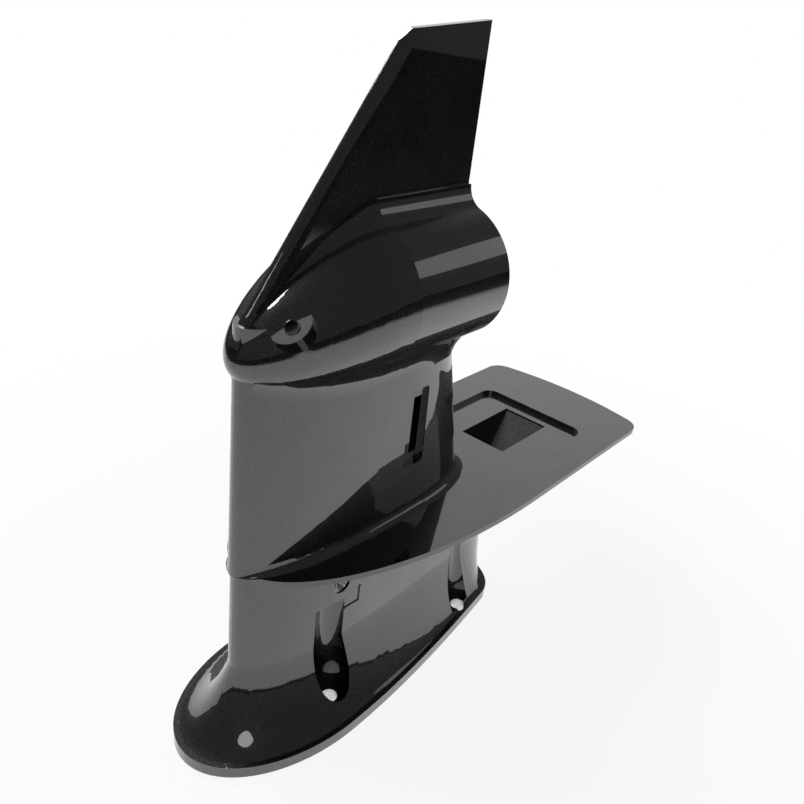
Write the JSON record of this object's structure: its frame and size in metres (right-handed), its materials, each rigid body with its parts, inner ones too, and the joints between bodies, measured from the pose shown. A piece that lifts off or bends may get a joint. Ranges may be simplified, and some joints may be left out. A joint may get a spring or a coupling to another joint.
{
  "type": "outboard lower casing",
  "caption": "Outboard motor lower casing with skeg, anti-ventilation plate and mounting flange; bevel gears, bearings, seals and a bearing carrier sit inside its torpedo.",
  "frame": {"origin": "where the drive shaft's axis crosses the flange's mounting face, at the mouth of the water pump's seat", "axes": "+Z from the flange to the skeg's tip, as the part stands upside down in the picture; +X aft along the propeller shaft; starboard is -Y"},
  "size_m": [0.3366, 0.1246, 0.3573],
  "materials": {
    "gloss_black_paint": "gloss black metallic paint under clear coat",
    "cast_aluminium": "machined casting",
    "stainless_steel": "plain stainless steel",
    "gear_steel": "hardened and ground",
    "bearing_steel": "ground and polished",
    "cage_brass": "pressed brass",
    "bronze": "sintered bronze",
    "black_rubber": "moulded nitrile"
  },
  "bodies": {
    "casing": {"lower_casing": "gloss_black_paint", "bearing_carrier": "cast_aluminium", "carrier_bolts": "stainless_steel", "carrier_washers": "stainless_steel", "carrier_o_ring": "black_rubber", "propeller_shaft_bush": "bronze", "propeller_shaft_seals": "black_rubber", "reverse_bearing_outer": "bearing_steel", "forward_gear_shim": "bearing_steel", "forward_bearing_cup": "bearing_steel", "pinion_bearing_shell": "bearing_steel", "pinion_thrust_washer": "bearing_steel", "drive_shaft_sleeve": "bronze", "drive_shaft_seals": "black_rubber", "shift_rod_bush": "bronze", "shift_rod_o_ring": "black_rubber"},
    "forward_gear": {"forward_gear": "gear_steel", "forward_gear_bush": "bronze", "forward_bearing_cone": "bearing_steel"},
    "reverse_gear": {"reverse_gear": "gear_steel", "reverse_gear_bush": "bronze", "reverse_gear_shim": "bearing_steel", "reverse_bearing_inner": "bearing_steel"},
    "pinion": {"pinion": "gear_steel"},
    "forward_roller_set": {"forward_bearing_rollers": "bearing_steel", "forward_bearing_cage": "cage_brass"},
    "reverse_ball_set": {"reverse_bearing_balls": "bearing_steel", "reverse_bearing_cage": "cage_brass"},
    "pinion_needle_set": {"pinion_needles": "bearing_steel"}
  },
  "joints": [
    {"name": "forward_gear_spin", "type": "hinge", "parent": "casing", "child": "forward_gear", "pos_m": [0, 0, 0.2318], "axis": [1, 0, 0], "continuous": true},
    {"name": "reverse_gear_spin", "type": "hinge", "parent": "casing", "child": "reverse_gear", "pos_m": [0, 0, 0.2318], "axis": [1, 0, 0], "continuous": true},
    {"name": "pinion_spin", "type": "hinge", "parent": "casing", "child": "pinion", "pos_m": [0, 0, 0.2318], "axis": [0, 0, 1], "continuous": true},
    {"name": "forward_roller_spin", "type": "hinge", "parent": "casing", "child": "forward_roller_set", "pos_m": [0, 0, 0.2318], "axis": [1, 0, 0], "continuous": true},
    {"name": "reverse_ball_spin", "type": "hinge", "parent": "casing", "child": "reverse_ball_set", "pos_m": [0, 0, 0.2318], "axis": [1, 0, 0], "continuous": true},
    {"name": "pinion_needle_spin", "type": "hinge", "parent": "casing", "child": "pinion_needle_set", "pos_m": [0, 0, 0.2318], "axis": [0, 0, 1], "continuous": true}
  ],
  "couplings": [
    {"joint": "pinion_spin", "follows": "forward_gear_spin", "ratio": -2.0769},
    {"joint": "reverse_gear_spin", "follows": "forward_gear_spin", "ratio": -1},
    {"joint": "forward_roller_spin", "follows": "forward_gear_spin", "ratio": 0.4239},
    {"joint": "reverse_ball_spin", "follows": "forward_gear_spin", "ratio": -0.4056},
    {"joint": "pinion_needle_spin", "follows": "forward_gear_spin", "ratio": -0.88842}
  ]
}
